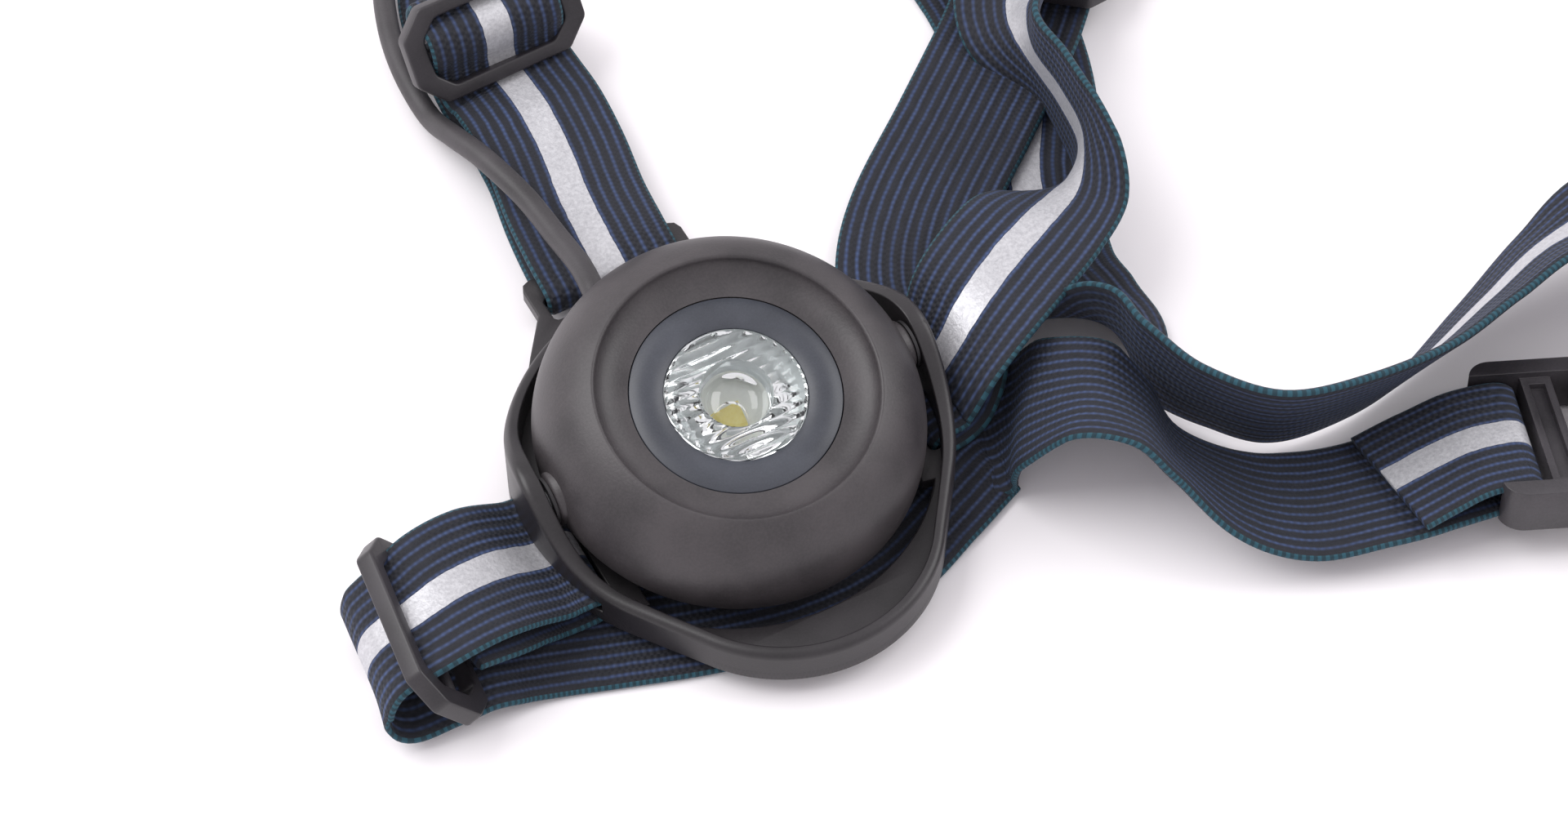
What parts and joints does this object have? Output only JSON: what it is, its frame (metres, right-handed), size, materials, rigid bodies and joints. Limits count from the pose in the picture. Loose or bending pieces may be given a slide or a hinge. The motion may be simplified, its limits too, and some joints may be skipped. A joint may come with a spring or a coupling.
{
  "type": "headlamp",
  "caption": "Round tilting lamp head in a strap-mounted front plate, with a webbing harness, slides, side-release buckle and a cabled battery pack.",
  "frame": {"origin": "centre of the front plate's back face, straight behind the lamp's tilt axis", "axes": "+X along the tilt axis, +Y towards the top strap loop, +Z out of the front plate, the way the lamp faces"},
  "size_m": [0.2603, 0.2625, 0.0346],
  "materials": {
    "housing_grey": "fine spark-eroded grain",
    "plate_black": "fine grain, satin",
    "face_slate": "smooth satin",
    "reflector_white": "satin, moulded",
    "inner_black": "smooth",
    "hardware_black": "moulded satin",
    "button_grey": "matte",
    "seal_rubber": "matte",
    "cable_rubber": "matte",
    "webbing_navy": "woven, with a reflective stripe",
    "pin_steel": "turned",
    "screw_steel": "machined",
    "contact_nickel": "plated",
    "aluminium": "machined",
    "clear_polycarbonate": "clear, moulded",
    "light_pipe": "frosted",
    "led_phosphor": "silicone over phosphor",
    "board_white": "white solder mask",
    "board_green": "green solder mask",
    "cell_wrap": "shrink wrap"
  },
  "bodies": {
    "harness": {"front_plate": "plate_black", "cable": "cable_rubber", "strap_top": "webbing_navy", "strap_right": "webbing_navy", "strap_left": "webbing_navy", "strap_back": "webbing_navy", "slide_top": "hardware_black", "slide_right": "hardware_black", "slide_left": "hardware_black", "buckle_socket": "hardware_black", "buckle_plug": "hardware_black", "pack_base": "plate_black", "pack_cover": "housing_grey", "pack_gasket": "seal_rubber", "battery_cells": "cell_wrap", "battery_contacts": "contact_nickel", "control_board": "board_green", "tact_switch": "inner_black", "charge_port": "aluminium", "status_light": "light_pipe", "pack_screws": "screw_steel", "pack_strain_relief": "seal_rubber"},
    "lamp": {"lamp_shell": "housing_grey", "lamp_back": "plate_black", "face_ring": "face_slate", "lens": "clear_polycarbonate", "lens_seal": "seal_rubber", "lens_holder": "reflector_white", "led_emitter": "led_phosphor", "led_board": "board_white", "heat_sink": "aluminium", "lamp_screws": "screw_steel", "pivot_pins": "pin_steel", "friction_washers": "seal_rubber", "lamp_strain_relief": "seal_rubber"},
    "power_button": {"power_button": "button_grey"},
    "port_flap": {"port_flap": "seal_rubber"},
    "latch_near": {"buckle_latch_near": "hardware_black"},
    "latch_far": {"buckle_latch_far": "hardware_black"}
  },
  "joints": [
    {"name": "lamp_tilt", "type": "hinge", "parent": "harness", "child": "lamp", "pos_m": [0, 0, 0.012], "axis": [1, 0, 0], "range_deg": [-24, 6], "deforming": ["cable"]},
    {"name": "power_button_press", "type": "slide", "parent": "harness", "child": "power_button", "axis": [0, 0, -1], "range_m": [0, 0.0005], "stiffness_N_per_m": 900, "springref_m": -0.0006},
    {"name": "port_flap_hinge", "type": "hinge", "parent": "harness", "child": "port_flap", "pos_m": [0.112, 0.13855, 0.006], "axis": [0.8788, -0.4772, 0], "range_deg": [0, 110]},
    {"name": "latch_near_flex", "type": "hinge", "parent": "harness", "child": "latch_near", "pos_m": [0.14115, -0.08442, 0.00577], "axis": [0.0846, 0.1899, 0.9781], "range_deg": [-7, 0], "stiffness_Nm_per_rad": 0.6},
    {"name": "latch_far_flex", "type": "hinge", "parent": "harness", "child": "latch_far", "pos_m": [0.15022, -0.06404, 0.00103], "axis": [0.0846, 0.1899, 0.9781], "range_deg": [0, 7], "stiffness_Nm_per_rad": 0.6}
  ]
}
